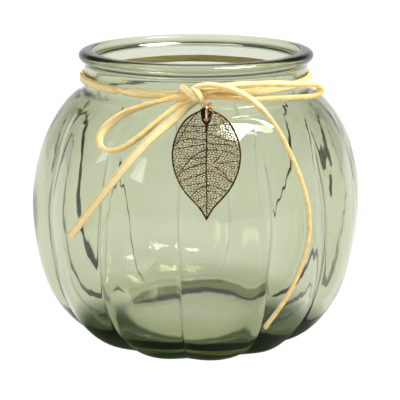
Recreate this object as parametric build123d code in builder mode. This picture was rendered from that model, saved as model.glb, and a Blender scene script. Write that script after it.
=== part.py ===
"""Pumpkin-shaped glass jar with a suede lace bow round its neck and a leaf charm on a jump ring.

Millimetres, +Z up. The origin is the centre of the jar's base, on the surface it stands on.
The front, where the bow is tied, faces -Y, and +X is to the right seen from the front.
"""
from build123d import *
from math import cos, pi, radians, sin, sqrt, tan
import os

# ---------------------------------------------------------------- driving dimensions
# jar
lobe_count = 13
lobe_angle = 360 / lobe_count
crease_azimuth = -5.1        # one crease, degrees from the front towards +X
body_sections = [            # height, crest radius, depth of the creases
    (0.0, 43.7, 1.3),
    (2.4, 48.6, 1.7),
    (7.0, 54.6, 2.1),
    (16.4, 61.8, 2.4),
    (29.3, 67.0, 2.5),
    (44.5, 69.5, 2.5),
    (60.8, 70.0, 2.5),
    (77.2, 67.1, 2.5),
    (91.3, 61.4, 2.3),
    (98.5, 56.0, 1.6),
    (103.4, 50.2, 0.4),
]
neck_radius = 46.2
neck_root_height = 96.0      # inside the body, where the neck solid starts
neck_foot_radius = 4.0       # hollow curve between the shoulder and the neck
bead_radius = 2.2
bead_centre_radius = 46.4
jar_height = 121.4
mouth_radius = 42.0
mouth_foot_height = 104.5    # lower end of the mouth's straight wall
lip_radius = 1.9
floor_height = 8.5
floor_radius = 36.0
cavity_points = [(45.0, 9.8), (52.0, 13.4), (57.4, 20.4), (61.8, 31.0), (63.9, 44.0),
                 (64.3, 59.0), (61.4, 77.0), (56.0, 90.5), (48.6, 99.8)]
mouth_direction = (-0.3, 1)  # of the hollow's side where it meets the mouth's straight wall
push_up_radius = 34.0        # hollow under the base, inside the ring it stands on
push_up_height = 2.8
push_up_direction = (-1, 0.6)    # of its edge, where it leaves the ring

# suede lace: flat, made here as a round tube of the same section area
lace_width = 3.0
lace_thickness = 1.4
lace_tube_radius = sqrt(lace_width * lace_thickness / pi)

# knot
knot_left = -5.5
knot_step = 2.6              # the front half of the knot ends here, beside the ring
knot_right = 6.0
knot_back = -46.7
knot_front = -52.4
knot_right_front = -51.6
knot_slot_front = -50.0      # front of the knot behind the ring
knot_bottom = 106.6
knot_slot_top = 109.6
knot_top = 113.6

# charm: a jump ring round a short strand under the knot, and a leaf on the ring
charm_x = 3.8
strand_radius = 1.0
strand_y = -53.2
strand_height = 106.3
strand_ends = (1.2, 6.4)
arm_spans = [(1.2, 2.6), (5.0, 6.4)]
arm_back = -48.0
ring_outer_radius = 3.6
ring_wire_radius = 0.4
ring_centre_y = -54.4
ring_centre_height = 105.05
leaf_tilt = 26.0             # from the vertical, its foot outwards
leaf_hole_y = -56.6
leaf_hole_height = 102.9
leaf_hole_radius = 0.9
leaf_thickness = 0.6
leaf_top = 4.5               # above the hole, along the leaf
leaf_tip = -37.5
leaf_edge_points = [(6.8, 1.0), (11.0, -5.4), (12.6, -12.8), (11.3, -20.6), (7.0, -28.2), (2.3, -33.4)]

# routes of the lace
band_polar = [               # azimuth from the front, turning to the left; radius; height
    (6.55, 48.2, 110.3), (22, 48.6, 110.2), (44, 48.6, 110.4), (66, 48.6, 110.5), (88, 48.6, 110.3),
    (110, 48.6, 110.0), (132, 48.6, 110.1), (154, 48.6, 110.3), (176, 48.6, 110.4), (198, 48.6, 110.2),
    (220, 48.6, 110.0), (242, 48.6, 110.1), (264, 48.6, 110.4), (286, 48.6, 110.7), (308, 48.6, 110.8),
    (330, 48.6, 110.6), (345, 48.5, 110.4), (352.85, 48.3, 110.4),
]
left_loop_route = [
    (-5.5, -50.7, 110.9), (-11.0, -50.0, 109.2), (-18.5, -48.0, 106.9), (-26.0, -46.6, 104.0),
    (-33.2, -47.2, 100.0), (-37.6, -49.2, 95.4), (-37.4, -52.6, 91.8), (-33.0, -55.8, 90.4),
    (-27.2, -57.4, 92.2), (-20.6, -57.2, 96.8), (-14.0, -54.6, 102.2), (-9.0, -51.6, 106.0),
    (-5.5, -51.0, 108.1),
]
right_loop_route = [
    (6.0, -50.3, 112.7), (10.4, -50.0, 114.1), (16.4, -48.6, 114.8), (24.0, -46.2, 114.8),
    (31.8, -43.2, 114.3), (39.6, -39.7, 113.4), (46.0, -36.5, 112.6), (50.8, -34.0, 111.6),
    (50.8, -34.0, 107.0), (46.0, -36.7, 106.2), (39.0, -40.4, 107.0), (31.0, -44.0, 107.8),
    (23.4, -46.6, 108.4), (16.4, -48.6, 109.1), (10.4, -49.9, 109.9), (6.0, -50.4, 110.4),
]
left_tail_route = [
    (-2.2, -50.6, 106.6), (-4.4, -51.6, 104.2), (-9.4, -54.4, 101.4), (-16.4, -58.0, 96.8),
    (-25.8, -61.2, 86.8), (-34.8, -61.4, 75.4), (-42.4, -58.6, 65.4), (-47.6, -55.2, 57.7),
]
right_tail_route = [
    (-0.6, -50.6, 113.6), (2.6, -52.2, 115.9), (7.2, -53.2, 116.1), (12.0, -53.0, 114.8),
    (16.8, -51.9, 112.5), (21.6, -50.0, 108.5), (26.2, -49.0, 104.0), (32.0, -52.2, 96.4),
    (37.8, -55.8, 84.2), (41.2, -57.4, 74.4), (42.8, -58.4, 65.0), (42.4, -59.0, 56.0),
    (40.2, -60.0, 47.6), (36.8, -61.4, 39.2), (31.8, -62.2, 30.6), (26.5, -61.6, 22.8),
]


def polar(radius, azimuth, height=0.0):
    """The point at this distance from the jar's axis, azimuth degrees from the front towards +X."""
    return (radius * sin(radians(azimuth)), -radius * cos(radians(azimuth)), height)


def corner_radii(points):
    """The largest arc that fits at each corner of a route."""
    places = [Vector(*point) for point in points]
    radii = []
    for before, corner, after in zip(places, places[1:], places[2:]):
        turn = (corner - before).get_angle(after - corner)
        shorter_run = min((corner - before).length, (after - corner).length)
        radii.append(0.45 * shorter_run / tan(radians(turn) / 2))
    return radii


def lace_tube(name, route):
    """A round tube along straight runs joined by tangent arcs."""
    radii = corner_radii(route)
    with BuildPart() as tube:
        with BuildLine() as centreline:
            FilletPolyline(*route, radius=radii)
        path = centreline.wire()
        with BuildSketch(Plane(origin=path @ 0, z_dir=path % 0)):
            Circle(lace_tube_radius)
        sweep(path=path)
    tube.part.label = name
    share = tube.part.volume / (pi * lace_tube_radius**2 * path.length)
    print(f"{name}: length {path.length:.1f} mm, volume {share:.4f} of section x length")
    print("   radii", " ".join(f"{radius:.1f}" for radius in radii))
    return tube


os.makedirs("parts", exist_ok=True)

# ---------------------------------------------------------------- the glass jar
with BuildPart() as glass_jar:
    # lobed body, each lobe one arc between two creases
    for height, crest, depth in body_sections:
        with BuildSketch(Plane.XY.offset(height)):
            with BuildLine():
                for lobe in range(lobe_count):
                    start = crease_azimuth + lobe * lobe_angle
                    ThreePointArc(
                        polar(crest - depth, start),
                        polar(crest, start + lobe_angle / 2),
                        polar(crest - depth, start + lobe_angle),
                    )
            make_face()
    loft()
    # round neck with its rolled bead, standing on the shoulder
    shoulder_height, shoulder_radius, shoulder_depth = body_sections[-1]
    foot_height = shoulder_height + neck_foot_radius
    bead_height = jar_height - bead_radius
    with BuildSketch(Plane.XZ):
        with BuildLine():
            Polyline((0, neck_root_height), (shoulder_radius - shoulder_depth, neck_root_height),
                     (shoulder_radius - shoulder_depth, shoulder_height))
            RadiusArc((shoulder_radius - shoulder_depth, shoulder_height), (neck_radius, foot_height),
                      neck_foot_radius)
            Line((neck_radius, foot_height), (neck_radius, bead_height - bead_radius))
            ThreePointArc(
                (neck_radius, bead_height - bead_radius),
                (bead_centre_radius + bead_radius, bead_height),
                (bead_centre_radius, jar_height),
            )
            Polyline((bead_centre_radius, jar_height), (0, jar_height), (0, neck_root_height))
        make_face()
    revolve(axis=Axis.Z)
    # the hollow inside, with the rounded lip at its top
    with BuildSketch(Plane.XZ):
        with BuildLine():
            Polyline((0, jar_height + 1), (0, floor_height), (floor_radius, floor_height))
            Spline((floor_radius, floor_height), *cavity_points, (mouth_radius, mouth_foot_height),
                   tangents=[(1, 0), mouth_direction])
            Line((mouth_radius, mouth_foot_height), (mouth_radius, jar_height - lip_radius))
            RadiusArc((mouth_radius, jar_height - lip_radius), (mouth_radius + lip_radius, jar_height),
                      lip_radius)
            Polyline((mouth_radius + lip_radius, jar_height), (mouth_radius + lip_radius, jar_height + 1),
                     (0, jar_height + 1))
        make_face()
    revolve(axis=Axis.Z, mode=Mode.SUBTRACT)
    # shallow hollow under the base
    with BuildSketch(Plane.XZ):
        with BuildLine():
            Line((0, 0), (push_up_radius, 0))
            Spline((push_up_radius, 0), (0, push_up_height), tangents=[push_up_direction, (-1, 0)])
            Line((0, push_up_height), (0, 0))
        make_face()
    revolve(axis=Axis.Z, mode=Mode.SUBTRACT)
glass_jar.part.label = "glass_jar"
export_step(glass_jar.part, "parts/glass_jar.step")

# ---------------------------------------------------------------- the lace
band_route = [polar(radius, -azimuth, height) for azimuth, radius, height in band_polar]
lace_routes = {
    "lace_neck_band": band_route,
    "lace_loop_left": left_loop_route,
    "lace_loop_right": right_loop_route,
    "lace_tail_left": left_tail_route,
    "lace_tail_right": right_tail_route,
}
for name, route in lace_routes.items():
    strand = lace_tube(name, route)
    export_step(strand.part, f"parts/{name}.step")

# the knot, with a short strand held clear under it for the ring to hang on
with BuildPart() as lace_knot:
    knot_blocks = [          # left, right, front, bottom, top
        (knot_left, knot_step, knot_front, knot_bottom, knot_top),
        (knot_step, knot_right, knot_right_front, knot_slot_top, knot_top),
        (knot_step, knot_right, knot_slot_front, knot_bottom, knot_slot_top),
    ]
    for left, right, front, bottom, top in knot_blocks:
        with Locations((left, front, bottom)):
            Box(right - left, knot_back - front, top - bottom, align=(Align.MIN, Align.MIN, Align.MIN))
    for left, right in arm_spans:
        with Locations((left, strand_y, strand_height - strand_radius)):
            Box(right - left, arm_back - strand_y, 2 * strand_radius, align=(Align.MIN, Align.MIN, Align.MIN))
    strand_left, strand_right = strand_ends
    with BuildSketch(Plane(origin=(strand_left, strand_y, strand_height), z_dir=(1, 0, 0))):
        Circle(strand_radius)
    extrude(amount=strand_right - strand_left)
lace_knot.part.label = "lace_knot"
export_step(lace_knot.part, "parts/lace_knot.step")

# ---------------------------------------------------------------- the charm
with BuildPart() as jump_ring:
    ring_centreline_radius = ring_outer_radius - ring_wire_radius
    ring_plane = Plane(origin=(charm_x, ring_centre_y, ring_centre_height), x_dir=(0, 1, 0), z_dir=(1, 0, 0))
    with BuildSketch(Plane(origin=ring_plane.from_local_coords((ring_centreline_radius, 0, 0)),
                           x_dir=(0, 1, 0), z_dir=(0, 0, 1))):
        Circle(ring_wire_radius)
    revolve(axis=Axis((charm_x, ring_centre_y, ring_centre_height), (1, 0, 0)))
jump_ring.part.label = "jump_ring"
export_step(jump_ring.part, "parts/jump_ring.step")

with BuildPart() as leaf_charm:
    leaf_normal = (0, -cos(radians(leaf_tilt)), sin(radians(leaf_tilt)))
    with BuildSketch(Plane(origin=(charm_x, leaf_hole_y, leaf_hole_height), x_dir=(1, 0, 0),
                           z_dir=leaf_normal)):
        with BuildLine():
            right_edge = Spline((0, leaf_top), *leaf_edge_points, (0, leaf_tip))
            mirror(right_edge, about=Plane.YZ)
        make_face()
        Circle(leaf_hole_radius, mode=Mode.SUBTRACT)
    extrude(amount=leaf_thickness / 2, both=True)
leaf_charm.part.label = "leaf_charm"
export_step(leaf_charm.part, "parts/leaf_charm.step")
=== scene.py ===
"""The looks of the pumpkin-shaped glass jar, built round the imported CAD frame.

Metres, +Z up, front at -Y.
"""
import math

import bmesh
import bpy
import numpy as np
from mathutils import Matrix, Vector


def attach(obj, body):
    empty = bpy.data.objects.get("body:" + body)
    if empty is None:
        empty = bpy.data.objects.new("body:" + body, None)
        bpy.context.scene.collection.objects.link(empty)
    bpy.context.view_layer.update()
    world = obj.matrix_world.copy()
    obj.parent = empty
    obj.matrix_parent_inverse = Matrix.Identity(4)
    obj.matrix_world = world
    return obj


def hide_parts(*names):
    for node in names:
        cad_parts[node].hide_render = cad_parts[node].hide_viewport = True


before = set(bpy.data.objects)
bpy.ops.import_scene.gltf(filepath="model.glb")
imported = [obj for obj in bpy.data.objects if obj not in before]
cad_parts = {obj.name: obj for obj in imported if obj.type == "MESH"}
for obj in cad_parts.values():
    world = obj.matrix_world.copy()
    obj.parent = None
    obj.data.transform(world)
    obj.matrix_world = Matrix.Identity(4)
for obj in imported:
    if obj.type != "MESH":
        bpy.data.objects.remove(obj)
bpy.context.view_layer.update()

MM = 0.001
JAR, RING, LEAF = "jar", "ring", "leaf"


# ---------------------------------------------------------------- small helpers
def unit(vectors):
    """Vectors scaled to length 1."""
    vectors = np.asarray(vectors, float)
    return vectors / np.linalg.norm(vectors, axis=-1, keepdims=True)


def smoothstep(low, high, value):
    """0 below low, 1 above high, and a smooth rise between."""
    share = np.clip((value - low) / (high - low), 0, 1)
    return share * share * (3 - 2 * share)


def natural_spline(knots, values, at):
    """A natural cubic spline through values at knots, read at the places in at."""
    knots, values = np.asarray(knots, float), np.asarray(values, float)
    gap = np.diff(knots)
    count = len(knots)
    system = np.eye(count)
    right = np.zeros((count,) + values.shape[1:])
    slope = (np.diff(values, axis=0).T / gap).T
    for i in range(1, count - 1):
        system[i, i - 1 : i + 2] = gap[i - 1], 2 * (gap[i - 1] + gap[i]), gap[i]
        right[i] = 6 * (slope[i] - slope[i - 1])
    bend = np.linalg.solve(system, right)
    i = np.clip(np.searchsorted(knots, at) - 1, 0, count - 2)
    share = (np.asarray(at) - knots[i]) / gap[i]
    if values.ndim > 1:
        share, step = share[:, None], gap[i][:, None]
    else:
        step = gap[i]
    low, high = 1 - share, share
    return (low * values[i] + high * values[i + 1]
            + step**2 / 6 * ((low**3 - low) * bend[i] + (high**3 - high) * bend[i + 1]))


def along(points):
    """Distance from the first point to each point."""
    return np.concatenate([[0], np.cumsum(np.linalg.norm(np.diff(points, axis=0), axis=1))])


def curve_through(points, count):
    """Points along a smooth curve through these ones, evenly spaced along it."""
    points = np.asarray(points, float)
    knots = along(points)
    fine = natural_spline(knots, points, np.linspace(0, knots[-1], 8 * count))
    length = along(fine)
    even = np.linspace(0, length[-1], count)
    return np.column_stack([np.interp(even, length, fine[:, axis]) for axis in range(points.shape[1])])


def mesh_piece(name, vertices, faces, materials, body, smooth=True):
    """A mesh object in the row frame that rides on a body."""
    mesh = bpy.data.meshes.new(name)
    mesh.from_pydata([tuple(map(float, v)) for v in vertices], [], [tuple(map(int, f)) for f in faces])
    mesh.validate()
    for material in materials:
        mesh.materials.append(material)
    mesh.polygons.foreach_set("use_smooth", [smooth] * len(mesh.polygons))
    piece = bpy.data.objects.new(name, mesh)
    bpy.context.scene.collection.objects.link(piece)
    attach(piece, body)
    return piece


# ---------------------------------------------------------------- materials
def new_material(name):
    """A material with its Principled shader."""
    material = bpy.data.materials.new(name)
    material.use_nodes = True
    return material, material.node_tree.nodes["Principled BSDF"]


def add_node(material, kind, **settings):
    """A node of this kind with these attributes, and inputs where a setting names one."""
    node = material.node_tree.nodes.new(kind)
    for key, value in settings.items():
        if key in node.inputs:
            node.inputs[key].default_value = value
        else:
            setattr(node, key, value)
    return node


def link(material, source, target):
    """Join an output to an input."""
    material.node_tree.links.new(source, target)


def noise(material, coordinates, scale, detail=4.0, roughness=0.55):
    """A noise texture on these coordinates."""
    node = add_node(material, "ShaderNodeTexNoise", Scale=scale, Detail=detail, Roughness=roughness)
    link(material, coordinates, node.inputs["Vector"])
    return node


def ramp(material, source, stops):
    """A colour ramp: stops are (place, linear colour)."""
    node = add_node(material, "ShaderNodeValToRGB")
    elements = node.color_ramp.elements
    while len(elements) < len(stops):
        elements.new(0.5)
    for element, (place, colour) in zip(elements, stops):
        element.position = place
        element.color = (*colour, 1)
    link(material, source, node.inputs["Fac"])
    return node.outputs["Color"]


def bump(material, shader, height, strength, distance):
    """Bump from a height output on a shader's normal."""
    node = add_node(material, "ShaderNodeBump", Strength=strength, Distance=distance)
    link(material, height, node.inputs["Height"])
    link(material, node.outputs["Normal"], shader.inputs["Normal"])


def object_coordinates(material):
    """The place on the object, in metres."""
    return add_node(material, "ShaderNodeTexCoord").outputs["Object"]


def glass_material():
    """Clear grey-green pressed glass, tinted by its depth, with painted shade and frost along the seams in
    its creases.
    """
    material, shader = new_material("green_glass")
    seam = add_node(material, "ShaderNodeAttribute", attribute_name="seam")
    # Painted shade: the seam mask darkens the glass's colour in the creases.
    colour = ramp(material, seam.outputs["Fac"], [(0, GLASS_SURFACE), (1, SEAM_PAINTED_SHADE)])
    link(material, colour, shader.inputs["Base Color"])
    frost = add_node(material, "ShaderNodeMapRange")
    frost.inputs["To Max"].default_value = SEAM_FROST
    link(material, seam.outputs["Fac"], frost.inputs["Value"])
    link(material, frost.outputs["Result"], shader.inputs["Roughness"])
    shader.inputs["IOR"].default_value = 1.5
    shader.inputs["Transmission Weight"].default_value = 1.0
    tint = add_node(material, "ShaderNodeVolumeAbsorption", Color=GLASS_TINT, Density=GLASS_DENSITY)
    link(material, tint.outputs["Volume"], material.node_tree.nodes["Material Output"].inputs["Volume"])
    drawn = add_node(material, "ShaderNodeMapping")
    drawn.inputs["Scale"].default_value = RIPPLE_STRETCH
    link(material, object_coordinates(material), drawn.inputs["Vector"])
    ripple = noise(material, drawn.outputs["Vector"], RIPPLE_SCALE, detail=3.0)
    bump(material, shader, ripple.outputs["Fac"], RIPPLE_STRENGTH, RIPPLE_HEIGHT)
    return material


def multiply_colours(material, one, other):
    """Two colour outputs multiplied."""
    node = add_node(material, "ShaderNodeMix", data_type="RGBA", blend_type="MULTIPLY")
    node.inputs["Factor"].default_value = 1.0
    link(material, one, node.inputs[6])
    link(material, other, node.inputs[7])
    return node.outputs[2]


def suede_material(name, light, dark):
    """Suede: a soft nap with fibres along the lace and a fine grain, and painted shade along each face's
    cut edges.
    """
    material, shader = new_material(name)
    lengthwise = add_node(material, "ShaderNodeUVMap", uv_map="lace")
    stretch = add_node(material, "ShaderNodeMapping")
    stretch.inputs["Scale"].default_value = FIBRE_SCALE
    link(material, lengthwise.outputs["UV"], stretch.inputs["Vector"])
    fibres = noise(material, stretch.outputs["Vector"], 1.0, detail=5.0, roughness=0.6)
    grain = noise(material, object_coordinates(material), SUEDE_GRAIN_SCALE, detail=2.0)
    mixed = add_node(material, "ShaderNodeMix", data_type="FLOAT")
    mixed.inputs["Factor"].default_value = 0.5
    link(material, fibres.outputs["Fac"], mixed.inputs["A"])
    link(material, grain.outputs["Fac"], mixed.inputs["B"])
    colour = ramp(material, mixed.outputs["Result"], [(0.38, dark), (0.60, light)])
    split = add_node(material, "ShaderNodeSeparateXYZ")
    link(material, lengthwise.outputs["UV"], split.inputs["Vector"])
    # Painted shade: each face darkens towards its cut edges.
    across_face = [(0, CUT_EDGE_PAINTED_SHADE), (CUT_BORDER, WHITE), (1 - CUT_BORDER, WHITE), (1, CUT_EDGE_PAINTED_SHADE)]
    painted_border_shade = ramp(material, split.outputs["Y"], across_face)
    link(material, multiply_colours(material, colour, painted_border_shade), shader.inputs["Base Color"])
    shader.inputs["Roughness"].default_value = 0.92
    shader.inputs["Specular IOR Level"].default_value = 0.2
    shader.inputs["Subsurface Weight"].default_value = 0.2
    shader.inputs["Subsurface Radius"].default_value = (1.0, 0.55, 0.25)
    shader.inputs["Subsurface Scale"].default_value = 0.006
    shader.inputs["Sheen Weight"].default_value = 0.25
    shader.inputs["Sheen Roughness"].default_value = 0.5
    shader.inputs["Sheen Tint"].default_value = (1.0, 0.92, 0.75, 1.0)
    nap = noise(material, object_coordinates(material), NAP_SCALE, detail=3.0)
    bump(material, shader, nap.outputs["Fac"], NAP_STRENGTH, NAP_HEIGHT)
    return material


def metal_material(name, stops, roughness, scale, bump_strength):
    """Plated metal whose colour and polish drift over the surface; on the leaf the lightest colours are
    painted glints.
    """
    material, shader = new_material(name)
    place = object_coordinates(material)
    drift = noise(material, place, scale, detail=4.0)
    link(material, ramp(material, drift.outputs["Fac"], stops), shader.inputs["Base Color"])
    shader.inputs["Metallic"].default_value = 1.0
    grain = noise(material, place, METAL_GRAIN_SCALE, detail=3.0)
    polish = add_node(material, "ShaderNodeMapRange")
    polish.inputs["To Min"].default_value = roughness[0]
    polish.inputs["To Max"].default_value = roughness[1]
    link(material, grain.outputs["Fac"], polish.inputs["Value"])
    link(material, polish.outputs["Result"], shader.inputs["Roughness"])
    bump(material, shader, grain.outputs["Fac"], bump_strength, METAL_GRAIN_HEIGHT)
    return material


WHITE = (1.0, 1.0, 1.0)
GLASS_SURFACE = (0.90, 0.91, 0.86)
SEAM_PAINTED_SHADE, SEAM_FROST = (0.55, 0.60, 0.50), 0.3      # painted shade (a darker colour) and roughness along the mould's seams
GLASS_TINT = (0.583, 0.633, 0.383, 1.0)
GLASS_DENSITY = 120.0
RIPPLE_STRETCH = (1.0, 1.0, 0.3)     # the drawn ripple runs up the glass
RIPPLE_SCALE, RIPPLE_STRENGTH, RIPPLE_HEIGHT = 62.0, 0.3, 0.0006

CUT_EDGE_PAINTED_SHADE = (0.80, 0.58, 0.36)       # painted shade: what a face's colour is multiplied by along its cut edges
CUT_BORDER = 0.13                    # share of the face's width over which that fades
FIBRE_SCALE = (300.0, 6.0, 1.0)      # along the lace, across it
SUEDE_GRAIN_SCALE = 1900.0
NAP_SCALE, NAP_STRENGTH, NAP_HEIGHT = 2600.0, 0.55, 0.00012
METAL_GRAIN_SCALE, METAL_GRAIN_HEIGHT = 1400.0, 0.00008

RING_SHADES = [(0.3, (0.90, 0.58, 0.28)), (0.7, (0.99, 0.80, 0.52))]
# Painted glints: the net's bright gold stop and the veins' warm top stop, on dark brown metal.
NET_TONES_AND_PAINTED_GLINTS = [(0.42, (0.12, 0.05, 0.01)), (0.53, (0.62, 0.36, 0.08)), (0.68, (1.0, 0.82, 0.34))]
VEIN_TONES_AND_PAINTED_GLINTS = [(0.42, (0.04, 0.02, 0.012)), (0.60, (0.13, 0.065, 0.03)), (0.78, (0.40, 0.24, 0.12))]

GLASS = glass_material()
# Painted shade: the edge copy of the suede is darker and more orange than the face copy.
SUEDE_FACE = suede_material("suede_face", (1.0, 0.90, 0.54), (0.93, 0.66, 0.28))
SUEDE_EDGE_PAINTED_SHADE = suede_material("suede_edge_painted_shade", (0.98, 0.74, 0.34), (0.82, 0.48, 0.15))
RING_METAL = metal_material("ring_metal", RING_SHADES, (0.12, 0.3), 900.0, 0.15)
NET_METAL = metal_material("net_metal", NET_TONES_AND_PAINTED_GLINTS, (0.25, 0.45), 800.0, 0.4)
VEIN_METAL = metal_material("vein_metal", VEIN_TONES_AND_PAINTED_GLINTS, (0.3, 0.5), 800.0, 0.4)


# ---------------------------------------------------------------- the glass jar
LOBES = 13
LOBE_ANGLE = 2 * math.pi / LOBES
CREASE_AZIMUTH = math.radians(-5.1)  # the first crease, from the front
COLUMNS_PER_LOBE = 28
JAR_HEIGHT = 121.4
NECK_RADIUS, MOUTH_RADIUS = 46.2, 42.0
BODY_OUTLINE = [             # radius, height of the lobes' crests, mm
    (42.6, 0.0), (48.4, 2.4), (54.6, 7.0), (61.8, 16.4), (67.0, 29.3), (69.5, 44.5), (70.0, 60.8),
    (67.1, 77.2), (61.4, 91.3), (56.0, 98.5), (50.6, 103.2), (47.0, 105.8), (46.2, 108.6),
]
BEAD_OUTLINE = [             # radius, height of the rolled rim's outside, mm
    (46.25, 113.8), (46.3, 115.4), (46.6, 116.5), (47.4, 117.2), (48.2, 118.0), (48.6, 119.2),
    (48.2, 120.3), (47.3, 121.0), (46.2, 121.3), (45.2, 121.35),
]
LIP_WIDE, LIP_TALL = 1.7, 1.4        # the rim's inner edge, a quarter of an oval
CAVITY_OUTLINE = [           # radius, height inside, mm
    (42.0, 108.0), (42.6, 105.0), (46.6, 101.2), (51.8, 96.8), (56.8, 90.2), (62.2, 77.0),
    (65.0, 59.5), (64.3, 43.5), (61.9, 29.5), (57.6, 19.4), (52.0, 12.6), (45.0, 9.4), (36.0, 8.5),
    (26.0, 8.5),
]
FLOOR_HEIGHT = 8.5
PUSH_UP_RADIUS, STAND_RADIUS = 34.0, 41.6    # the flat ring under the base lies between these
PUSH_UP_OUTLINE = [
    (0.0, 2.8), (12.0, 2.6), (24.0, 1.6), (PUSH_UP_RADIUS - 1.5, 0.25), (PUSH_UP_RADIUS + 0.5, 0.0),
]

CREASE_DEPTH = 2.5
CREASE_ROUNDING, INNER_ROUNDING = 0.05, 0.30     # share of half a lobe over which a crease is rounded
CREASE_TOP = 104.5, 79.0     # height where the creases begin, and where they are full depth
CREASE_FOOT = 36.0, 49.0     # radius under the base where they end, and where they are full depth
HEEL_HEIGHTS, HEEL_DEEPENING = (24.0, 4.0), 0.35     # they grow deeper towards the heel, by this share
CREASE_SHIFTS = {1: 2.0, 2: -2.2}    # creases that stand off the even spacing, degrees
SEAM_DEPTH, SEAM_WIDTH = 0.25, 0.6   # the narrow groove at the bottom of each crease
SEAM_DEPTHS = 1.6, 2.4       # crease depth where the seam's mark of painted shade and frost begins, and where it is full
HALF_LOBE = 16.0             # width of half a lobe, as the seam's mark takes it
WALL_SHRINK = 0.06           # what the lobes lose all round
LOBE_SWELL = 0.05            # uneven roundness of the whole body
INNER_RIPPLE, INNER_FOOT = 2.0, 58.0     # how far the inside follows the lobes; where it does fully


def arc(centre_radius, centre_height, wide, tall, start, end, count):
    """Points of an oval's arc in the radius-height plane, angles in degrees from straight out."""
    angles = np.radians(np.linspace(start, end, count))
    return np.column_stack([centre_radius + wide * np.cos(angles), centre_height + tall * np.sin(angles)])


def outside_profile():
    """Rows of (radius, height) up the outside from the base's middle, and their crease depths, mm."""
    hollow = curve_through(PUSH_UP_OUTLINE, 18)
    stand = np.column_stack([np.linspace(PUSH_UP_RADIUS + 1.5, STAND_RADIUS, 5), np.zeros(5)])
    body = curve_through(BODY_OUTLINE, 96)
    body[:, 1] = np.maximum(body[:, 1], 0.0)
    neck = np.column_stack([np.full(6, NECK_RADIUS), np.linspace(109.6, 113.0, 6)])
    profile = np.vstack([hollow, stand, body, neck, curve_through(BEAD_OUTLINE, 21)])
    depth = CREASE_DEPTH * smoothstep(*CREASE_TOP, profile[:, 1]) * smoothstep(*CREASE_FOOT, profile[:, 0])
    return profile, depth * (1 + HEEL_DEEPENING * smoothstep(*HEEL_HEIGHTS, profile[:, 1]))


def inside_profile():
    """Rows of (radius, height) down the inside from the rim, mm, and each row's share of the ripple."""
    lip = arc(MOUTH_RADIUS + LIP_WIDE, JAR_HEIGHT - LIP_TALL, LIP_WIDE, LIP_TALL, 90, 180, 10)
    mouth = np.column_stack([np.full(9, MOUTH_RADIUS), np.linspace(118.2, 109.4, 9)])
    floor = np.column_stack([np.linspace(22.0, 0.0, 14), np.full(14, FLOOR_HEIGHT)])
    profile = np.vstack([lip, mouth, curve_through(CAVITY_OUTLINE, 84), floor])
    share = smoothstep(*CREASE_TOP, profile[:, 1]) * smoothstep(CREASE_FOOT[0], INNER_FOOT, profile[:, 0])
    return profile, share


def crease_wander(height, lobe):
    """How far each crease strays sideways with height, in radians."""
    shift = np.array([CREASE_SHIFTS.get(int(one), 0.0) for one in lobe])
    waves = 0.35 * np.sin(height / 15.0 + 2.3 * lobe) + 0.2 * np.sin(height / 6.5 + 4.1 * lobe)
    return np.radians(shift + waves)


def crease_shape(from_crease, rounding):
    """1 in the crease and 0 on the lobe's crest, with the crease's bottom rounded."""
    rise = np.sqrt(from_crease**2 + rounding**2) - rounding
    return (1 - rise / (math.sqrt(1 + rounding**2) - rounding)) ** 2


def ring_at(radius, height, azimuth):
    """A ring of points round the axis, mm; azimuths are from the front."""
    level = np.full(len(azimuth), height)
    return np.column_stack([radius * np.sin(azimuth), -radius * np.cos(azimuth), level])


def outside_rings(profile, depth, lobe, share, azimuth):
    """Rings of the lobed outside; share goes from -1 to 1 across each lobe."""
    from_crease = 1 - np.abs(share)
    hollow = crease_shape(from_crease, CREASE_ROUNDING)
    for (radius, height), deep in zip(profile, depth):
        part = deep / CREASE_DEPTH
        left = crease_wander(height, lobe)
        right = crease_wander(height, (lobe + 1) % LOBES)
        turn = azimuth + (left * (1 - share) + right * (1 + share)) / 2 * part
        swell = LOBE_SWELL * np.sin(3 * azimuth + height / 11.0) * part
        seam = SEAM_DEPTH * np.clip(1 - from_crease * LOBE_ANGLE / 2 * radius / SEAM_WIDTH, 0, 1)
        yield ring_at(radius - deep * hollow - (WALL_SHRINK + seam) * part + swell, height, turn)


def inside_rings(profile, ripple, share, azimuth):
    """Rings of the inside, which follows the lobes softly."""
    soft = crease_shape(1 - np.abs(share), INNER_ROUNDING)
    for (radius, height), part in zip(profile, ripple):
        wave = (-INNER_RIPPLE * (soft - 0.3)
                + 0.12 * np.sin(5 * azimuth + height / 9.0 + 0.7)
                + 0.09 * np.sin(9 * azimuth - height / 6.0 + 2.1))
        yield ring_at(radius + part * wave, height, azimuth)


def skin_faces(rows, columns):
    """Faces of a closed skin of rings, whose two ends close on two more vertices."""
    faces = []
    for row in range(rows - 1):
        low, high = row * columns, (row + 1) * columns
        for column in range(columns):
            following = (column + 1) % columns
            faces.append((low + column, low + following, high + following, high + column))
    first_end, last_end = rows * columns, rows * columns + 1
    last = (rows - 1) * columns
    for column in range(columns):
        following = (column + 1) % columns
        faces.append((following, column, first_end))
        faces.append((last + column, last + following, last_end))
    return faces


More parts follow.
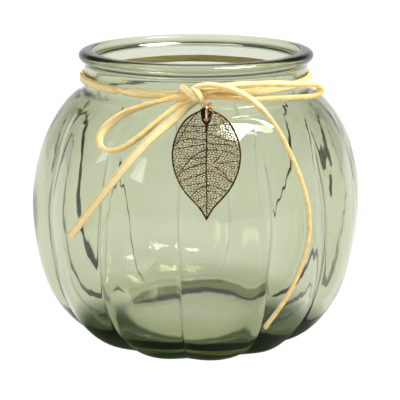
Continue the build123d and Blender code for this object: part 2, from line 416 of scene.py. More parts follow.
def build_jar():
    """The whole jar as one closed skin: lobed outside, softly rippled inside."""
    outside, depth = outside_profile()
    inside, ripple = inside_profile()
    columns = LOBES * COLUMNS_PER_LOBE
    index = np.arange(columns)
    lobe = index // COLUMNS_PER_LOBE
    share = np.sin((index % COLUMNS_PER_LOBE / COLUMNS_PER_LOBE * 2 - 1) * math.pi / 2)
    azimuth = CREASE_AZIMUTH + (lobe + (share + 1) / 2) * LOBE_ANGLE
    rings = list(outside_rings(outside, depth, lobe, share, azimuth))
    rings += inside_rings(inside, ripple, share, azimuth)
    bottom, top = rings[0].mean(axis=0), rings[-1].mean(axis=0)
    rings = rings[1:-1]
    vertices = np.vstack(rings + [bottom[None], top[None]]) * MM
    faces = skin_faces(len(rings), columns)
    jar = mesh_piece("glass_jar_skin", vertices, faces, [GLASS], JAR)
    seam = np.zeros(len(vertices))
    marked = smoothstep(*SEAM_DEPTHS, depth[1:])
    groove = np.clip(1 - (1 - np.abs(share)) * HALF_LOBE / SEAM_WIDTH, 0, 1)
    seam[: len(marked) * columns] = (marked[:, None] * groove).ravel()
    jar.data.attributes.new("seam", "FLOAT", "POINT").data.foreach_set("value", seam)
    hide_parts("glass_jar")


build_jar()


# ---------------------------------------------------------------- suede lace
LACE_WIDTH, LACE_THICKNESS, LACE_CORNER = 3.0, 1.4, 0.30
LACE_CROWN, LACE_FUZZ = 0.10, 0.022  # how much a face bulges, as a share, and how rough the skin is, mm
FACE, EDGE = 0, 1            # material slots: the brushed face and the cut edge, whose suede is darker as painted shade
KNOT_CENTRE = (0.0, -50.4, 110.6)
BODY_CENTRE_HEIGHT, BODY_ROUNDNESS = 56.0, 1.45      # of the ball that the jar's shoulder is taken for

# routes, mm: the points that steer each strand's smooth line
NECK_BAND = [                # azimuth from the front, turning to the left; radius; height
    (2.0, 48.9, 110.6), (8.0, 48.2, 110.4), (22, 48.0, 110.2), (32, 48.6, 110.2), (44, 48.6, 110.4),
    (56, 48.1, 110.5), (72, 48.05, 110.5), (90, 48.05, 110.3), (110, 48.1, 110.0),
    (132, 48.1, 110.1), (154, 48.1, 110.3), (176, 48.1, 110.4), (198, 48.1, 110.2),
    (220, 48.1, 110.0), (242, 48.1, 110.1), (264, 48.1, 110.4), (286, 48.1, 110.7),
    (308, 48.1, 110.8), (330, 48.1, 110.6), (345, 48.3, 110.4), (352.85, 48.4, 110.4),
    (357.0, 49.0, 110.6),
]
LEFT_LOOP = [
    (-1.5, -51.2, 111.6), (-5.5, -50.9, 110.9), (-11.0, -50.2, 109.2), (-18.5, -48.4, 106.9),
    (-26.0, -46.9, 104.0), (-32.4, -47.9, 100.0), (-36.2, -50.0, 95.6), (-36.0, -53.3, 92.0),
    (-32.2, -56.3, 90.6), (-27.0, -57.7, 92.3), (-20.6, -57.5, 96.8), (-14.0, -54.9, 102.2),
    (-9.0, -52.0, 106.0), (-5.5, -51.3, 108.3), (-1.8, -51.3, 110.2),
]
RIGHT_LOOP = [
    (1.0, -51.2, 111.8), (6.0, -50.3, 112.9), (10.4, -50.0, 114.1), (16.4, -48.6, 114.5),
    (24.0, -46.2, 114.4), (31.8, -43.2, 113.9), (38.8, -40.1, 113.2), (42.4, -38.3, 112.8),
    (45.1, -37.0, 112.6), (47.1, -36.0, 111.9), (48.0, -35.5, 110.5), (47.1, -36.1, 109.0),
    (45.1, -37.2, 108.2), (42.2, -38.7, 108.2), (38.0, -40.8, 108.4), (31.0, -44.0, 108.6),
    (23.4, -46.6, 108.7), (16.4, -48.6, 109.3), (10.4, -50.1, 110.2), (6.0, -50.5, 110.8),
    (1.5, -50.9, 111.0),
]
LEFT_TAIL = [
    (0.4, -51.4, 109.4), (-2.2, -51.6, 107.6), (-5.0, -52.6, 105.2), (-9.4, -54.9, 101.6),
    (-16.4, -58.4, 96.8), (-25.8, -61.6, 86.8), (-34.8, -61.8, 75.4), (-42.4, -58.9, 65.4),
    (-47.6, -55.5, 57.7),
]
RIGHT_TAIL = [
    (-2.6, -50.6, 111.6), (-0.8, -51.2, 113.8), (2.6, -52.2, 115.0), (7.2, -53.2, 115.2),
    (12.0, -53.0, 114.0), (16.8, -51.9, 112.0), (21.6, -50.2, 108.5), (26.2, -49.6, 104.0),
    (32.0, -52.6, 96.4), (37.8, -56.0, 84.2), (41.2, -57.6, 74.4), (42.8, -58.6, 65.0),
    (42.4, -59.2, 56.0), (40.2, -60.2, 47.6), (36.8, -61.6, 39.2), (31.8, -62.4, 30.6),
    (26.5, -61.8, 22.8),
]
FIRST_WRAP = [
    (-5.8, -49.6, 113.0), (-5.6, -51.4, 114.4), (-3.6, -53.0, 113.1), (-1.2, -53.6, 111.0),
    (0.5, -53.0, 109.4), (1.3, -50.8, 108.6),
]
SECOND_WRAP = [              # ends as the short strand that the ring hangs on
    (-1.6, -49.6, 112.9), (-0.9, -51.9, 114.0), (0.6, -53.4, 112.6), (1.9, -53.5, 110.4),
    (2.4, -51.7, 108.2), (2.8, -52.3, 106.7), (4.2, -52.9, 106.0), (5.1, -51.8, 106.6),
    (4.9, -50.6, 107.4),
]
KNOT_CORE = [(-7.0, -50.0, 110.0), (-3.0, -50.7, 110.4), (1.5, -50.8, 110.8), (6.0, -50.2, 111.0)]


def spline_points(name, route):
    """Points along the smooth line that a route steers, mm."""
    curve = bpy.data.curves.new(name, "CURVE")
    curve.dimensions = "3D"
    curve.resolution_u = 14
    spline = curve.splines.new("NURBS")
    spline.points.add(len(route) - 1)
    for control, point in zip(spline.points, route):
        control.co = (*point, 1)
    spline.order_u = 3
    spline.use_endpoint_u = True
    holder = bpy.data.objects.new(name, curve)
    line = bpy.data.meshes.new_from_object(holder)
    points = np.array([vertex.co[:] for vertex in line.vertices])
    bpy.data.meshes.remove(line)
    bpy.data.objects.remove(holder)
    bpy.data.curves.remove(curve)
    return points


def jar_outward(points):
    """Directions out of the jar's side beside these points: level at the neck, as on a ball below it."""
    on_body = smoothstep(108.0, 98.0, points[:, 2])
    rise = BODY_ROUNDNESS * on_body * (points[:, 2] - BODY_CENTRE_HEIGHT)
    return unit(np.column_stack([points[:, 0], points[:, 1], rise]))


def flat_on_jar(points, tangent):
    """Facing of a strand that lies with its face against the jar."""
    return jar_outward(points)


def on_edge(side, lean):
    """Facing of a strand that stands on its edge on the jar; lean turns its face up off the jar."""
    def facing(points, tangent):
        share = np.linspace(0, 1, len(points))
        outward = jar_outward(points)
        return side * unit(np.cross(tangent, outward)) + np.interp(share, *zip(*lean))[:, None] * outward
    return facing


def round_the_knot(points, tangent):
    """Facing of a strand wound round the knot."""
    return unit(points - np.array(KNOT_CENTRE))


def lace_section():
    """The lace's section, once round: (across, out, slot)."""
    straight = LACE_WIDTH / 2 - LACE_CORNER
    flat = LACE_THICKNESS / 2 - LACE_CORNER

    def corner(angle, flat):
        turn = math.radians(angle)
        return straight + LACE_CORNER * math.cos(turn), flat + LACE_CORNER * math.sin(turn), EDGE

    outline = [(across, LACE_THICKNESS / 2, FACE) for across in np.linspace(-straight, straight, 7)]
    outline += [corner(60, flat), corner(30, flat)]
    outline += [(LACE_WIDTH / 2, out, EDGE) for out in (flat, 0, -flat)]
    outline += [corner(-30, -flat), corner(-60, -flat)]
    return outline + [(-across, -out, slot) for across, out, slot in outline]


def lace_mesh(points, facing, roll, width, thickness, seed):
    """Vertices, faces, slots and lengthwise places of a flat strand with brushed faces and cut edges."""
    generator = np.random.default_rng(seed)
    distance = along(points)
    share = distance / distance[-1]
    tangent = unit(np.gradient(points, distance, axis=0))
    normal = facing(points, tangent)
    normal = unit(normal - (normal * tangent).sum(axis=1, keepdims=True) * tangent)
    side = np.cross(tangent, normal)
    angle = np.radians(np.interp(share, *zip(*roll)))[:, None]
    face = np.cos(angle) * normal + np.sin(angle) * side
    across = np.cos(angle) * side - np.sin(angle) * normal
    outline = lace_section()
    uneven = 1 + 0.025 * np.sin(distance / 3.1 + seed) + 0.02 * np.sin(distance / 1.3)
    widen = np.interp(share, *zip(*width)) * uneven
    thicken = np.interp(share, *zip(*thickness)) * (1 + 0.04 * np.sin(distance / 2.2 + 2 * seed))
    places = np.zeros((len(points), len(outline), 3))
    for number, (reach, lift, _) in enumerate(outline):
        fuzz = generator.normal(0, LACE_FUZZ, len(points))
        crown = 1 + LACE_CROWN * (1 - (2 * reach / LACE_WIDTH) ** 2)
        places[:, number] = (points + ((reach * widen + fuzz)[:, None] * across)
                             + ((lift * thicken * crown + fuzz)[:, None] * face))
    count = len(outline)
    vertices = places.reshape(-1, 3)
    faces, slots = [], []
    for row in range(len(points) - 1):
        for number, (_, _, slot) in enumerate(outline):
            following = (number + 1) % count
            low, high = row * count, (row + 1) * count
            faces.append((low + number, low + following, high + following, high + number))
            slots.append(FACE if slot == FACE and outline[following][2] == FACE
                         and outline[following][1] * outline[number][1] > 0 else EDGE)
    faces += [tuple(range(count - 1, -1, -1)), tuple(range(len(vertices) - count, len(vertices)))]
    slots += [EDGE, EDGE]
    straight = LACE_WIDTH / 2 - LACE_CORNER
    over_face = [reach / straight / 2 * math.copysign(1, lift) + 0.5 if slot == FACE else 0.5
                 for reach, lift, slot in outline]
    lengthwise = np.stack(np.meshgrid(distance * MM, over_face, indexing="ij"), axis=-1).reshape(-1, 2)
    return vertices, faces, slots, lengthwise


def lace_piece(name, strands, replaced):
    """One object made of one or more flat strands: (points, facing, roll, width, thickness)."""
    vertices, faces, slots, lengthwise = [], [], [], []
    for number, (points, facing, roll, width, thickness) in enumerate(strands):
        new = lace_mesh(points, facing, roll, width, thickness, len(name) + 3 * number)
        start = sum(map(len, vertices))
        vertices.append(new[0])
        faces += [tuple(start + vertex for vertex in face) for face in new[1]]
        slots += new[2]
        lengthwise.append(new[3])
    lengthwise = np.vstack(lengthwise)
    piece = mesh_piece(name, np.vstack(vertices) * MM, faces, [SUEDE_FACE, SUEDE_EDGE_PAINTED_SHADE], JAR)
    piece.data.polygons.foreach_set("material_index", slots)
    layer = piece.data.uv_layers.new(name="lace")
    for loop in piece.data.loops:
        layer.data[loop.index].uv = lengthwise[loop.vertex_index]
    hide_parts(replaced)
    return piece


STEADY = [(0, 0), (1, 0)]    # no roll, and full width or thickness, from end to end
FULL = [(0, 1), (1, 1)]
LEFT_LOOP_LEAN = [(0, -0.5), (0.2, -0.25), (0.8, -0.25), (1, -0.5)]
RIGHT_LOOP_LEAN = [(0, 0.45), (0.4, 0.4), (0.55, -0.1), (1, -0.15)]
RIGHT_TAIL_LEAN = [(0, 0.15), (0.2, 0.2), (0.4, 1.0), (1, 1.0)]


def lace_cord(name, route, facing, replaced, roll=STEADY):
    """A strand along the smooth line of its route, in place of the part it replaces."""
    points = spline_points(name, route)
    piece = lace_piece(name, [(points, facing, roll, FULL, FULL)], replaced)


def tipped_right(points, tangent):
    """Facing of a strand that lies on the jar, tipped down to the right."""
    return jar_outward(points) + np.array([0.5, 0, -0.5])


def build_laces(charm):
    """The band, both loops and both tails, and the knot that ties them."""
    band = [(radius * math.sin(math.radians(-azimuth)), -radius * math.cos(math.radians(azimuth)), height)
            for azimuth, radius, height in NECK_BAND]
    flip = [(0, 0), (0.078, 0), (0.118, 180), (1, 180)]
    lace_cord("suede_neck_band", band, flat_on_jar, "lace_neck_band", roll=flip)
    lace_cord("suede_loop_left", LEFT_LOOP, on_edge(1, LEFT_LOOP_LEAN), "lace_loop_left")
    lace_cord("suede_loop_right", RIGHT_LOOP, on_edge(-1, RIGHT_LOOP_LEAN), "lace_loop_right")
    lace_cord("suede_tail_left", LEFT_TAIL, tipped_right, "lace_tail_left")
    lace_cord("suede_tail_right", RIGHT_TAIL, on_edge(-1, RIGHT_TAIL_LEAN), "lace_tail_right")
    pulled = [(0, 0.8), (1, 0.8)]
    narrowing = [(0, 0.8), (0.5, 0.8), (0.62, 0.53), (0.9, 0.53), (1, 0.7)]
    lace_piece("suede_knot", [
        (spline_points("core", KNOT_CORE), flat_on_jar, STEADY, FULL, [(0, 1.3), (1, 1.3)]),
        (spline_points("first_wrap", FIRST_WRAP), round_the_knot, STEADY, pulled, pulled),
        (spline_points("second_wrap", SECOND_WRAP), round_the_knot, STEADY, narrowing, pulled),
    ], "lace_knot")


# ---------------------------------------------------------------- the charm: jump ring and skeleton leaf
CHARM_X = 3.8
RING_CENTRE = (CHARM_X, -54.4, 105.05)
RING_RADIUS, RING_WIRE = 3.2, 0.4
RING_OPENS, RING_GAP = 40.0, 2.0     # where the wire's ends meet, and half the gap there, degrees
RING_SPREAD = 0.05           # how far each end stands sideways, mm
LEAF_HOLE = np.array([CHARM_X, -56.6, 102.9])
LEAF_TILT = math.radians(26.0)
LEAF_UP = np.array([0, math.sin(LEAF_TILT), math.cos(LEAF_TILT)])
LEAF_OUT = np.array([0, -math.cos(LEAF_TILT), math.sin(LEAF_TILT)])
LEAF_HOLE_RADIUS = 0.72
LEAF_EDGE = [                # half the leaf's edge, across and up from the hole, mm
    (0, 4.5), (6.8, 1.0), (11.0, -5.4), (12.6, -12.8),
    (11.3, -20.6), (7.0, -28.2), (2.3, -33.4), (0, -37.5),
]
MIDRIB = [(0, -1.4), (0.1, -9.0), (-0.1, -18.0), (0.1, -28.0), (0, -37.0)]
SIDE_VEINS = [               # start width, then points outwards from the midrib
    (0.40, [(1.8, 4.0), (4.1, 2.3), (6.7, -1.7), (8.4, -4.9), (10.1, -7.8), (11.4, -11.2)]),
    (0.30, [(0, -2.0), (2.8, -1.9), (5.5, -1.6), (9.6, -2.2)]),
    (0.34, [(0, -5.2), (3.8, -6.3), (6.7, -7.5), (11.2, -8.3)]),
    (0.38, [(0, -8.2), (1.5, -8.9), (5.0, -9.2), (8.4, -9.6), (11.6, -11.8)]),
    (0.36, [(0, -11.4), (5.0, -11.5), (8.4, -12.3), (12.0, -13.7)]),
    (0.26, [(2.7, -16.4), (4.4, -14.4), (6.1, -12.2)]),
    (0.46, [(0, -16.2), (2.7, -17.6), (5.5, -19.2), (7.8, -21.9), (9.8, -23.9)]),
    (0.26, [(4.1, -16.4), (8.4, -15.8), (12.0, -15.5)]),
    (0.40, [(0, -19.2), (2.7, -19.4), (5.5, -20.8), (8.6, -23.0)]),
    (0.34, [(0, -24.5), (3.2, -24.9), (5.5, -26.0), (7.9, -26.8)]),
    (0.28, [(0, -26.4), (2.7, -26.9), (5.0, -28.2), (6.3, -29.2)]),
    (0.36, [(0, -29.2), (2.4, -30.1), (4.2, -31.4)]),
    (0.26, [(0, -32.4), (1.2, -33.2), (2.2, -34.0)]),
    (0.38, [(-1.7, 4.1), (-4.6, 1.2), (-6.5, -1.0), (-8.2, -4.3), (-9.6, -6.9), (-11.4, -10.0)]),
    (0.34, [(0, -2.3), (-2.5, -2.5), (-5.1, -2.3), (-9.6, -2.6)]),
    (0.26, [(0, -4.9), (-3.5, -4.6), (-7.4, -4.4), (-10.2, -5.0)]),
    (0.34, [(0, -7.5), (-2.2, -7.6), (-5.1, -7.2), (-7.4, -7.3), (-11.4, -8.6)]),
    (0.36, [(0, -9.1), (-3.1, -9.6), (-6.0, -10.1), (-12.0, -11.2)]),
    (0.46, [(0, -11.4), (-2.2, -12.1), (-4.0, -13.3), (-6.0, -14.8), (-7.7, -17.0), (-10.9, -20.2)]),
    (0.28, [(0, -14.0), (-3.1, -14.4), (-6.4, -14.6), (-12.2, -14.2)]),
    (0.38, [(0, -16.3), (-3.1, -16.9), (-5.4, -17.7), (-8.3, -19.0), (-10.8, -21.4)]),
    (0.36, [(0, -19.6), (-3.1, -20.9), (-6.0, -21.8), (-9.9, -23.4)]),
    (0.28, [(0, -23.4), (-5.0, -24.2), (-9.0, -25.0)]),
    (0.40, [(0, -24.9), (-2.2, -25.3), (-4.0, -26.8), (-6.2, -29.3)]),
    (0.28, [(0, -28.4), (-2.2, -29.2), (-4.4, -31.2)]),
    (0.26, [(0, -31.6), (-1.4, -32.5), (-2.6, -33.6)]),
]
NET_CELL = 0.98              # average size of a mesh of the net
NET_BAR = 0.26               # width of the net's bars
NET_THICKNESS = 0.30
RIM_WIDTH, RIM_LIFT = 0.62, 0.27
MIDRIB_LIFT, MIDRIB_SINK = 0.30, 0.26
VEIN_LIFT, VEIN_SINK = 0.26, 0.20
TAB_THICKNESS = 0.48
HOLE_CHAMFER = 0.08          # mm deep, and wide by this share of the hole's radius
TAB = [                      # outline of the solid patch round the hole, across and up from it, mm
    (-2.3, 3.9), (-1.2, 4.45), (1.2, 4.45), (2.3, 3.9), (1.9, 1.2), (1.75, -0.4),
    (0.9, -1.6), (0, -2.2), (-0.9, -1.6), (-1.75, -0.4), (-1.9, 1.2),
]


def build_ring():
    """A wire bent into a ring, its two ends not quite meeting."""
    turns = np.radians(np.linspace(RING_OPENS + RING_GAP, RING_OPENS + 360 - RING_GAP, 72))
    sides = np.radians(np.arange(0, 360, 30))
    spread = RING_SPREAD * np.linspace(-1, 1, len(turns)) ** 3
    middle_x, middle_y, middle_z = RING_CENTRE
    vertices = []
    for turn, sideways in zip(turns, spread):
        for side in sides:
            reach = RING_RADIUS + RING_WIRE * math.cos(side)
            vertices.append((middle_x + RING_WIRE * math.sin(side) + sideways,
                             middle_y + reach * math.cos(turn), middle_z + reach * math.sin(turn)))
    count = len(sides)
    faces = []
    for row in range(len(turns) - 1):
        for side in range(count):
            following = (side + 1) % count
            faces.append((row * count + side, row * count + following,
                          (row + 1) * count + following, (row + 1) * count + side))
    faces += [tuple(range(count - 1, -1, -1)), tuple(range(len(vertices) - count, len(vertices)))]
    ring = mesh_piece("jump_ring_wire", np.array(vertices) * MM, faces, [RING_METAL], RING)
    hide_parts("jump_ring")
    return ring


def leaf_point(across, up, out):
    """A point given on the leaf, in mm in the row frame."""
    return LEAF_HOLE + across * np.array([1.0, 0, 0]) + up * LEAF_UP + out * LEAF_OUT


def leaf_outline():
    """The leaf's edge, once round, clockwise from the top."""
    half = curve_through(LEAF_EDGE, 56)
    return np.vstack([half, (half * (-1, 1))[-2:0:-1]])


def clip(polygon, point, normal):
    """The part of a polygon on the inner side of a line through point; normal points outwards."""
    kept = []
    sides = (polygon - point) @ normal
    for number in range(len(polygon)):
        here, before = polygon[number], polygon[number - 1]
        if sides[number] * sides[number - 1] < 0:
            share = sides[number - 1] / (sides[number - 1] - sides[number])
            kept.append(before + (here - before) * share)
        if sides[number] <= 0:
            kept.append(here)
    return np.array(kept)


def is_inside(points, outline):
    """Whether each point is inside the outline."""
    crossing = np.zeros(len(points), int)
    for (x0, y0), (x1, y1) in zip(outline, np.roll(outline, -1, axis=0)):
        spans = (y0 > points[:, 1]) != (y1 > points[:, 1])
        if y0 != y1:
            crossing += spans & (points[:, 0] < (x1 - x0) * (points[:, 1] - y0) / (y1 - y0) + x0)
    return crossing % 2 == 1


def net_seeds(outline):
    """Middles of the net's meshes: uneven rows that fan outwards and down from the midrib."""
    generator = np.random.default_rng(7)
    seeds = []
    for row in np.arange(7.0, -40.0, -0.92 * NET_CELL):
        offset = generator.uniform(0, NET_CELL)
        for across in np.arange(-14.0 + offset, 14.0, 1.08 * NET_CELL):
            seeds.append((across, row - 0.12 * abs(across) + 0.5 * math.sin(0.5 * across)))
    seeds = np.array(seeds) + generator.normal(0, 0.17 * NET_CELL, (len(seeds), 2))
    clear_of_hole = np.linalg.norm(seeds, axis=1) > LEAF_HOLE_RADIUS + 0.6
    return seeds[is_inside(seeds * 1.02, outline) & clear_of_hole]


def net_cells(outline):
    """The net's meshes as polygons that share their sides."""
    seeds = net_seeds(outline)
    cells = []
    for seed in seeds:
        gaps = np.linalg.norm(seeds - seed, axis=1)
        near = seeds[(gaps < 4.5 * NET_CELL) & (gaps > 0)]
        if (np.linalg.norm(outline - seed, axis=1) < 3.0 * NET_CELL).any():
            cell = outline[::-1].copy()
        else:
            cell = seed + 3 * NET_CELL * np.array([(-1, -1), (1, -1), (1, 1), (-1, 1)], float)
        for other in near[np.argsort(np.linalg.norm(near - seed, axis=1))]:
            cell = clip(cell, (seed + other) / 2, other - seed)
            if len(cell) < 3:
                break
        if len(cell) >= 3 and np.linalg.norm(cell, axis=1).min() > LEAF_HOLE_RADIUS + 0.12:
            cells.append(cell)
    return cells


def add_net(builder, outline):
    """The fine net: every mesh is a hole with a bar's half width round it."""
    for cell in net_cells(outline):
        centre = cell.mean(axis=0)
        size = np.linalg.norm(cell - centre, axis=1).mean()
        hole = centre + (cell - centre) * max(1 - 0.62 * NET_BAR / size, 0.3)
        half = NET_THICKNESS / 2
        corners = len(cell)
        layers = [[builder.verts.new(leaf_point(*spot, level)) for spot in ring]
                  for ring, level in ((cell, half), (hole, half), (hole, -half), (cell, -half))]
        for one, other in zip(layers, layers[1:]):
            for number in range(corners):
                following = (number + 1) % corners
                builder.faces.new((one[number], one[following], other[following], other[number]))


def add_rib(builder, line, widths, lift, sink):
    """A vein: a bar with a rounded back along a line on the leaf, tapering to its end."""
    slope = unit(np.gradient(line, axis=0))
    across = np.column_stack([-slope[:, 1], slope[:, 0]])
    section = [(-1.0, -sink), (-1.0, 0.35 * lift), (-0.55, 0.85 * lift), (0, lift), (0.55, 0.85 * lift),
               (1.0, 0.35 * lift), (1.0, -sink)]
    rows = []
    for place, side, width in zip(line, across, widths):
        rows.append([builder.verts.new(leaf_point(*(place + side * reach * width / 2), level))
                     for reach, level in section])
    for one, other in zip(rows, rows[1:]):
        for number in range(len(section)):
            following = (number + 1) % len(section)
            builder.faces.new((one[number], one[following], other[following], other[number]))
    builder.faces.new(rows[0][::-1])
    builder.faces.new(rows[-1])


def add_tab(builder):
    """The solid patch round the hole that the ring goes through."""
    edge = np.array(TAB)
    turns = np.linspace(0, 2 * math.pi, 37)[:-1]
    hole = LEAF_HOLE_RADIUS * np.column_stack([np.cos(turns), np.sin(turns)])
    rim = []
    for spot in hole:
        reach = 1.0
        while reach < 8 and is_inside((spot * reach)[None], edge)[0]:
            reach += 0.02
        rim.append(spot * reach)
    rim = np.array(rim)
    half = TAB_THICKNESS / 2
    wide = hole * (1 + HOLE_CHAMFER)
    layers = [[builder.verts.new(leaf_point(*spot, level)) for spot in ring]
              for ring, level in ((rim, -half), (rim, half), (wide, half), (hole, half - HOLE_CHAMFER),
                                  (hole, HOLE_CHAMFER - half), (wide, -half))]
    for number, one in enumerate(layers):
        other = layers[(number + 1) % len(layers)]
        for spot in range(len(turns)):
            following = (spot + 1) % len(turns)
            builder.faces.new((one[spot], one[following], other[following], other[spot]))


def build_leaf():
    """The etched metal leaf: a fine net with raised veins inside a rim."""
    outline = leaf_outline()
    builder = bmesh.new()
    add_net(builder, outline)
    bmesh.ops.remove_doubles(builder, verts=builder.verts, dist=0.004)
    net_faces = len(builder.faces)
    rim = outline * 0.985 + np.array([0, -0.25])
    rim = np.vstack([rim, rim[:1]])
    add_rib(builder, rim, np.full(len(rim), RIM_WIDTH), RIM_LIFT, RIM_LIFT)
    midrib = curve_through(MIDRIB, 60)
    tapering = np.interp(np.linspace(0, 1, 60), [0, 0.1, 1], [0.9, 0.7, 0.3])
    add_rib(builder, midrib, tapering, MIDRIB_LIFT, MIDRIB_SINK)
    for width, points in SIDE_VEINS:
        vein = curve_through(points, 22)
        add_rib(builder, vein, np.linspace(width, 0.6 * width, 22), VEIN_LIFT, VEIN_SINK)
    add_tab(builder)
    builder.faces.ensure_lookup_table()
    for face in builder.faces[net_faces:]:
        face.material_index = 1
    bmesh.ops.recalc_face_normals(builder, faces=builder.faces)
    mesh = bpy.data.meshes.new("leaf_filigree")
    builder.to_mesh(mesh)
    builder.free()
    mesh.transform(Matrix.Scale(MM, 4))
    mesh.materials.append(NET_METAL)
    mesh.materials.append(VEIN_METAL)
    leaf = bpy.data.objects.new("leaf_filigree", mesh)
    bpy.context.scene.collection.objects.link(leaf)
    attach(leaf, LEAF)
    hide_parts("leaf_charm")
    return leaf


build_laces([build_ring(), build_leaf()])


# ---------------------------------------------------------------- camera, floor and light
CAMERA_DISTANCE, CAMERA_HEIGHT, CAMERA_PITCH = 0.4321, 0.1815, 16.23
CAMERA_LENS, CAMERA_SHIFT = 93.71, 0.01      # mm; the jar stands a little left of the middle
FLOOR_SIZE, FLOOR_DROP, FLOOR_GLOW = 12, 0.0003, 1.0
# Painted shadow: the dark green that the floor shows round the jar's base to every ray but the camera's.
PAINTED_SHADOW_DARK = (0.075, 0.105, 0.05)
PAINTED_SHADOW_UNDER = [              # painted shadow under the base, with painted light through the glass in its middle: distance from the middle of the base, mm, and the floor's colour
    (0, WHITE), (33, (0.90, 0.92, 0.85)), (37, PAINTED_SHADOW_DARK), (50, PAINTED_SHADOW_DARK),
]
PAINTED_SHADOW_AROUND = [(0, PAINTED_SHADOW_DARK), (39, PAINTED_SHADOW_DARK), (53, WHITE)]      # painted shadow round the base; the same, from the place below
AROUND_PLACE = (0.7, 1.0, 1.0), (0, 0.035, 0)        # scale and shift: a wide oval about a place in front
HORIZON_GLOW, OVERHEAD_GLOW = 0.80, 0.08
FRONT_SHARE = 0.45           # of that glow, on the camera's side
LAMP_AIM = (0, 0, 0.07)


def build_camera():
    """A camera in front of the jar, above its rim and looking down a little."""
    camera = bpy.data.cameras.new("camera")
    camera.sensor_width = 36.0
    camera.lens = CAMERA_LENS
    camera.shift_x = CAMERA_SHIFT
    camera.clip_start, camera.clip_end = 0.01, 50
    placed = bpy.data.objects.new("camera", camera)
    placed.location = (0, -CAMERA_DISTANCE, CAMERA_HEIGHT)
    placed.rotation_euler = (math.radians(90 - CAMERA_PITCH), 0, 0)
    bpy.context.scene.collection.objects.link(placed)
    bpy.context.scene.camera = placed


def painted_shadow_by_distance(material, scale, offset, stops):
    """Painted shadow colours that change with the distance from a place on the floor: stops are (mm,
    colour).
    """
    place = add_node(material, "ShaderNodeMapping")
    place.inputs["Scale"].default_value = scale
    place.inputs["Location"].default_value = offset
    link(material, object_coordinates(material), place.inputs["Vector"])
    reach = add_node(material, "ShaderNodeVectorMath", operation="LENGTH")
    link(material, place.outputs["Vector"], reach.inputs[0])
    share = add_node(material, "ShaderNodeMath", operation="DIVIDE")
    link(material, reach.outputs["Value"], share.inputs[0])
    furthest = stops[-1][0]
    share.inputs[1].default_value = furthest * MM
    places = [(distance / furthest, colour) for distance, colour in stops]
    return ramp(material, share.outputs["Value"], places)


def build_floor():
    """A floor that the camera sees as plain white, and the glass with a painted green shadow round its
    base.
    """
    material, shader = new_material("floor")
    shader.inputs["Base Color"].default_value = (0.1, 0.1, 0.1, 1)
    shader.inputs["Roughness"].default_value = 0.8
    shader.inputs["Emission Strength"].default_value = FLOOR_GLOW
    under = painted_shadow_by_distance(material, (1, 1, 1), (0, 0, 0), PAINTED_SHADOW_UNDER)
    around = painted_shadow_by_distance(material, *AROUND_PLACE, PAINTED_SHADOW_AROUND)
    # The two painted shadows together; the lighter one wins.
    shade = add_node(material, "ShaderNodeMix", data_type="RGBA", blend_type="LIGHTEN")
    shade.inputs["Factor"].default_value = 1.0
    link(material, under, shade.inputs[6])
    link(material, around, shade.inputs[7])
    seen = add_node(material, "ShaderNodeMix", data_type="RGBA")
    path = add_node(material, "ShaderNodeLightPath")
    link(material, path.outputs["Is Camera Ray"], seen.inputs["Factor"])
    link(material, shade.outputs[2], seen.inputs[6])
    seen.inputs[7].default_value = (1, 1, 1, 1)
    link(material, seen.outputs[2], shader.inputs["Emission Color"])
    bpy.ops.mesh.primitive_plane_add(size=FLOOR_SIZE, location=(0, 0, -FLOOR_DROP))
    floor = bpy.context.object
    floor.name = "floor"
    floor.data.materials.append(material)


def soft_box(name, direction, distance, size, power):
    """A rectangular lamp facing the middle of the jar."""
    aim = Vector(LAMP_AIM)
    light = bpy.data.lights.new(name, "AREA")
    light.shape = "RECTANGLE"
    light.size, light.size_y = size
    light.energy = power
    lamp = bpy.data.objects.new(name, light)
    lamp.location = aim + Vector(direction).normalized() * distance
    lamp.rotation_euler = (aim - lamp.location).to_track_quat("-Z", "Y").to_euler()
    bpy.context.scene.collection.objects.link(lamp)


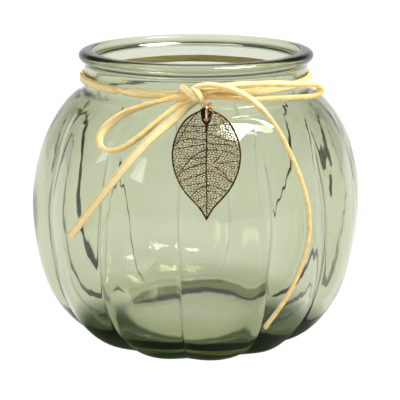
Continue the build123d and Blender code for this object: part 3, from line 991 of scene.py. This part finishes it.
def world_grade(tree, source, start, end, low, high):
    """A smooth change from low to high as a part of the direction goes from start to end."""
    grade = tree.nodes.new("ShaderNodeMapRange")
    grade.interpolation_type = "SMOOTHSTEP"
    for name, value in (("From Min", start), ("From Max", end), ("To Min", low), ("To Max", high)):
        grade.inputs[name].default_value = value
    tree.links.new(source, grade.inputs["Value"])
    return grade.outputs["Result"]


def build_world():
    """A bright studio round the jar, darker overhead and in front, before a plain white backdrop."""
    world = bpy.data.worlds.new("studio")
    world.use_nodes = True
    tree = world.node_tree
    place = tree.nodes.new("ShaderNodeTexCoord")
    split = tree.nodes.new("ShaderNodeSeparateXYZ")
    tree.links.new(place.outputs["Generated"], split.inputs["Vector"])
    depth = world_grade(tree, split.outputs["Y"], -0.9, -0.1, FRONT_SHARE, 1.0)
    height = world_grade(tree, split.outputs["Z"], 0.10, 0.45, HORIZON_GLOW, OVERHEAD_GLOW)
    glow = tree.nodes.new("ShaderNodeMath")
    glow.operation = "MULTIPLY"
    tree.links.new(depth, glow.inputs[0])
    tree.links.new(height, glow.inputs[1])
    backdrop = tree.nodes.new("ShaderNodeMath")
    backdrop.operation = "MAXIMUM"
    tree.links.new(glow.outputs["Value"], backdrop.inputs[0])
    tree.links.new(tree.nodes.new("ShaderNodeLightPath").outputs["Is Camera Ray"], backdrop.inputs[1])
    tree.links.new(backdrop.outputs["Value"], tree.nodes["Background"].inputs["Strength"])
    tree.nodes["Background"].inputs["Color"].default_value = (1, 1, 1, 1)
    bpy.context.scene.world = world


def build_light():
    """The world and three soft lamps."""
    build_world()
    soft_box("overhead", (0.0, 0.25, 1.0), 1.1, (1.0, 1.0), 4.0)
    soft_box("right", (0.48, -0.22, 1.0), 0.9, (0.42, 0.34), 11.0)
    soft_box("left_front", (-0.7, -0.7, 0.5), 1.2, (0.4, 0.4), 2.0)


def set_bounces():
    """Enough bounces for light to get through both walls of the jar and its base."""
    cycles = bpy.context.scene.cycles
    cycles.max_bounces = 32
    cycles.glossy_bounces = 24
    cycles.transmission_bounces = 24


bpy.context.scene.view_settings.view_transform = "Standard"
set_bounces()
build_camera()
build_floor()
build_light()
